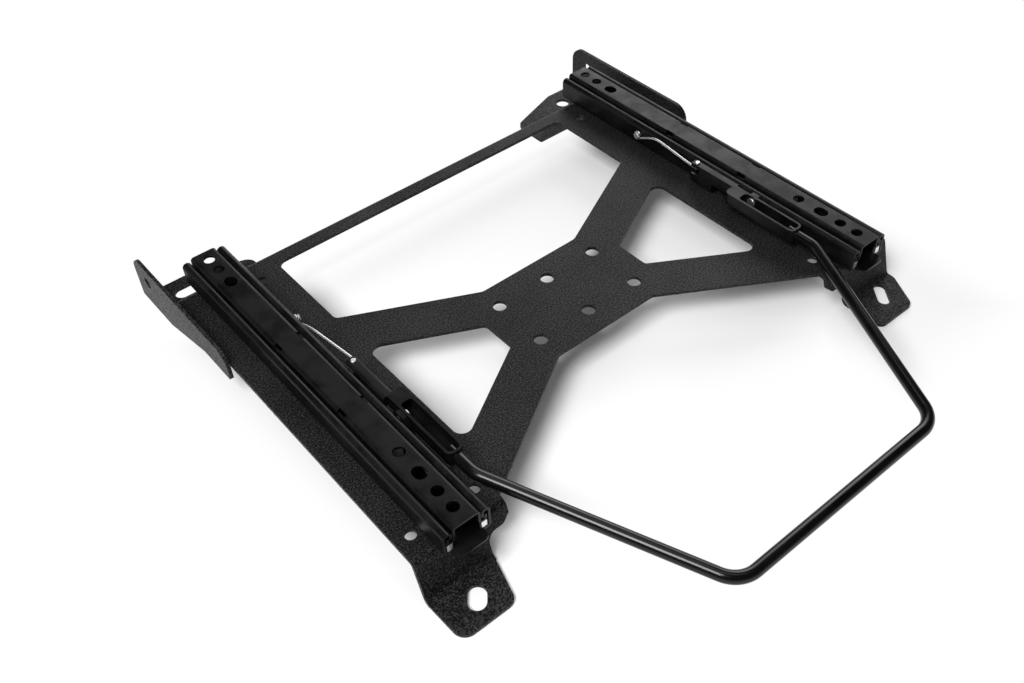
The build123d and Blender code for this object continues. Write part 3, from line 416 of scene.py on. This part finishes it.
def tube(line, radius, columns, across, bevel):
    """Points = line + radius * (cos a * side + sin a * up), with side across the line and both ends closed.

    across is any direction that the line never follows; bevel is the small slope round each cut end.
    """
    tangent = np.gradient(line, axis=0)
    tangent /= np.linalg.norm(tangent, axis=1, keepdims=True)
    side = np.cross(tangent, across)
    side /= np.linalg.norm(side, axis=1, keepdims=True)
    up = np.cross(side, tangent)
    first, last = line[:1], line[-1:]
    sloped_first, sloped_last = first + tangent[0] * bevel, last - tangent[-1] * bevel
    line = np.vstack([first, first, sloped_first, line[1:-1], sloped_last, last, last])
    side = np.vstack([side[:1]] * 2 + [side] + [side[-1:]] * 2)
    up = np.vstack([up[:1]] * 2 + [up] + [up[-1:]] * 2)
    reach = np.full(len(line), radius)
    reach[[0, -1]] = 0.0
    reach[[1, -2]] = radius - bevel
    angle = np.linspace(0.0, 2 * math.pi, columns, endpoint=False)
    ring = np.cos(angle)[None, :, None] * side[:, None] + np.sin(angle)[None, :, None] * up[:, None]
    return line[:, None] + reach[:, None, None] * ring


def skin(name, grid, slot):
    """A mesh from a grid of points: rows along the piece, columns round it, the last one next to the first."""
    rows, columns = grid.shape[:2]
    row, column = np.meshgrid(np.arange(rows - 1), np.arange(columns), indexing="ij")
    right = (column + 1) % columns
    quads = np.stack([row * columns + column, row * columns + right,
                      (row + 1) * columns + right, (row + 1) * columns + column], -1).reshape(-1, 4)
    mesh = bpy.data.meshes.new(name)
    mesh.from_pydata(grid.reshape(-1, 3).tolist(), [], quads.tolist())
    work = bmesh.new()
    work.from_mesh(mesh)
    bmesh.ops.remove_doubles(work, verts=work.verts, dist=1e-7)
    bmesh.ops.recalc_face_normals(work, faces=work.faces)
    smooth_but_for_corners(work, tube_corner)
    work.to_mesh(mesh)
    work.free()
    return as_piece(name, mesh, slot)


rings = tube(trial, radius=1.0, columns=16, across=(0.0, 0.0, 1.0), bevel=0.1)
print("a tube along that bend has", rings.shape[0], "rings of", rings.shape[1], "points")

# %% [markdown]
# ## The release bar
# One round rod, bent at each lever and at both front corners. The packed rod is 9.2 mm thick and has flats
# where its round was cut into facets. A finer tube along the same line keeps its long highlight clean, and is
# 0.4 mm thicker for the paint. The rod is the same left and right, so half of its corners are written.

# %% Release bar
bar_radius, bar_bevel = 0.0048, 0.0008
grip_corner, tray_front, tray_end = (100.0, -272.5, 5.0), (176.02, -104.0, 15.4), (176.02, -76.0, 15.4)
grip_bend, tray_bend = 22.0, 24.0
half = [grip_corner, tray_front, tray_end]
bar_corners = [(-x, y, z) for x, y, z in reversed(half)] + half
bar_line = bent_line(bar_corners, [tray_bend, grip_bend, grip_bend, tray_bend], 1.2)
bar_grid = tube(at_deck(bar_line), bar_radius, columns=48, across=(0.0, 0.0, 1.0), bevel=bar_bevel)
bar = skin("pull_bar", bar_grid, "bar_black")
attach(bar, "lever")
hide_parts("release_bar")
print("release bar:", len(bar.data.polygons), "faces")

# %% [markdown]
# ## The return springs
# A bowed wire of 2.2 mm pulls each lever back. It has an eye round the lever's pin and another round the
# rail's anchor. The left wire is the right one with its x turned round.

# %% Return springs
def circle_points(centre, radius, first, second, start, turn):
    """Points = centre + radius * (cos a * first + sin a * second), for a from start through turn degrees."""
    angle = np.radians(np.linspace(start, start + turn, 40))[:, None]
    return np.asarray(centre) + radius * (np.cos(angle) * first + np.sin(angle) * second)


wire_radius, wire_bevel = 0.0011, 0.0002
first_run, last_run, bow = 6.0, 22.0, 40.0   # the straight runs at both ends, and the radius of the bends
dive = math.radians(28.0)                    # how steeply the last run goes down to the anchor

along_x, along_y, along_z = np.eye(3)
pin_eye = circle_points((181.92, 32.0, 18.75), 2.55, along_x, along_y, start=420.0, turn=-240.0)
anchor_eye = circle_points((185.47, 109.0, 11.0), 3.25, along_y, along_z, start=-118.0, turn=240.0)
knee = anchor_eye[0] - last_run * (along_y * math.cos(dive) - along_z * math.sin(dive))
run = bent_line([pin_eye[-1], pin_eye[-1] + first_run * along_y, knee, anchor_eye[0]], [bow, bow], 1.0)
wire_line = np.vstack([pin_eye[:-1], run, anchor_eye[1:]])
for side, sign in (("left", -1.0), ("right", 1.0)):
    turned = np.array([sign, 1.0, 1.0])
    line = at_deck(wire_line * turned)
    wire_grid = tube(line, wire_radius, columns=16, across=(1.0, 0.0, 1.0), bevel=wire_bevel)
    wire = skin("return_wire_" + side, wire_grid, "zinc")
    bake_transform(wire)
    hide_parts("return_spring_" + side)
    print("return wire", side, len(wire.data.polygons), "faces")

# %% [markdown]
# ## White table
# The photograph has a burnt-out white table with soft shadows close under the plate. A matt floor keeps those
# shadows under the deck and round the front feet, and further out plain white light is mixed in where the
# camera or a reflection sees it. A matt floor that is burnt out by the lamps alone would need so much light
# that the black paint would turn grey.

# %% Table
half_width = 0.22                      # metres, from the middle of the mount to its sides
deck_row, deck_reach = 0.03, 0.13      # where the deck's middle lies along the mount, and half its length
feet_row, feet_reach = -0.15, 0.03     # the same for the front feet


def overshoot(across, along, width, length):
    """How far a point lies outside a rectangle round the origin: the larger of |x| - width and |y| - length."""
    return (across.size() - width).at_least(along.size() - length)


top = new_material("white table")
place = top.place()
seen = top.node("ShaderNodeLightPath", None, None, "Is Camera Ray")
for ray_kind in ("Is Glossy Ray", "Is Transmission Ray"):
    seen = seen.at_least(top.node("ShaderNodeLightPath", None, None, ray_kind))
across, along = top.part_of(place, 0), top.part_of(place, 1)
off_deck = overshoot(across, along - deck_row, half_width, deck_reach)
off_feet = overshoot(across.size() - half_width, along - feet_row, feet_reach, feet_reach)
burnt_out = top.step(off_deck.at_most(off_feet), start=0.0, end=0.06, low=0.07, high=1.0)
matt = top.node("ShaderNodeBsdfDiffuse", None, {"Color": (0.96, 0.96, 0.96, 1.0)})
glow = top.node("ShaderNodeEmission", None, {"Color": (1.0, 1.0, 1.0, 1.0), "Strength": 1.0})
table_finish = top.surface(top.node("ShaderNodeMixShader", None, {0: burnt_out * seen, 1: matt, 2: glow}))

half_table = 9.0
hair = 0.0003   # the table lies this far under the feet, so that the two faces never fight
table_mesh = bpy.data.meshes.new("table")
table_mesh.from_pydata(
    [(x * half_table, y * half_table, -hair) for x, y in ((-1, -1), (1, -1), (1, 1), (-1, 1))],
    [], [(0, 1, 2, 3)])
table_mesh.materials.append(table_finish)
table = bpy.data.objects.new("table", table_mesh)
bpy.context.scene.collection.objects.link(table)
print("table", 2 * half_table, "m wide")

# %% [markdown]
# ## The room in reflections
# To the camera the room is white. In reflections it goes from a dim horizon to a darker ceiling, which is
# what keeps black paint black. One large pale card stands behind the mount on the right, where the flat metal
# mirrors it: that is the soft sheen on the middle of the plate and on the right slider. A real card would
# have to be kept out of the picture, so the world itself is brighter in that direction.

# %% Room
card_direction = (0.663, 0.557, 0.5)
room = Finish(bpy.data.worlds.new("room"))
ray = room.node("ShaderNodeTexCoord", None, None, "Generated")
ceiling = room.step(room.part_of(ray, 2), start=0.1, end=0.5, low=0.2, high=0.03)
nearness = room.node("ShaderNodeVectorMath", {"operation": "DOT_PRODUCT"}, {0: ray, 1: card_direction}, 1)
card = room.step(nearness, start=0.91, end=0.995, high=3.6)
camera_sees = room.node("ShaderNodeLightPath", None, None, "Is Camera Ray")
level = camera_sees + (1.0 - camera_sees) * (ceiling + card)
light = room.node("ShaderNodeBackground", None, {"Color": (1.0, 1.0, 1.0, 1.0), "Strength": level})
bpy.context.scene.world = room.surface(light, "ShaderNodeOutputWorld")
print("room made, with its card towards", card_direction)

# %% [markdown]
# ## Lamps
# The key lamp stands high on the left and a little in front: the shadows fall to the right, and the left leg
# of the release bar carries a long highlight. A weak wide lamp overhead softens what is left. Both are square
# area lamps, because a soft box in a studio is one, and a point lamp would leave hard shadows.

# %% Lamps
def softbox(name, place, side, watts):
    """A square area lamp that faces the origin: its z axis = the line from the origin to its place."""
    lamp_data = bpy.data.lights.new(name, "AREA")
    lamp_data.shape, lamp_data.size, lamp_data.energy = "SQUARE", side, watts
    lamp = bpy.data.objects.new(name, lamp_data)
    bpy.context.scene.collection.objects.link(lamp)
    backward = np.array(place) / np.linalg.norm(place)
    rightward = np.cross((0.0, 1.0, 0.0), backward)
    rightward /= np.linalg.norm(rightward)
    turned = np.eye(4)
    turned[:3] = np.column_stack([rightward, np.cross(backward, rightward), backward, place])
    lamp.matrix_world = Matrix(turned.tolist())
    return lamp


lamps = [softbox("key", place=(-1.2, -0.4, 1.6), side=0.9, watts=41.0),
         softbox("top", place=(0.0, 0.1, 1.8), side=1.3, watts=5.0)]
print("lamps:", [lamp.name for lamp in lamps])

# %% [markdown]
# ## Closing
# The view transform is set to Standard, so that a colour renders as written.

# %% Close
bpy.context.scene.view_settings.view_transform = "Standard"
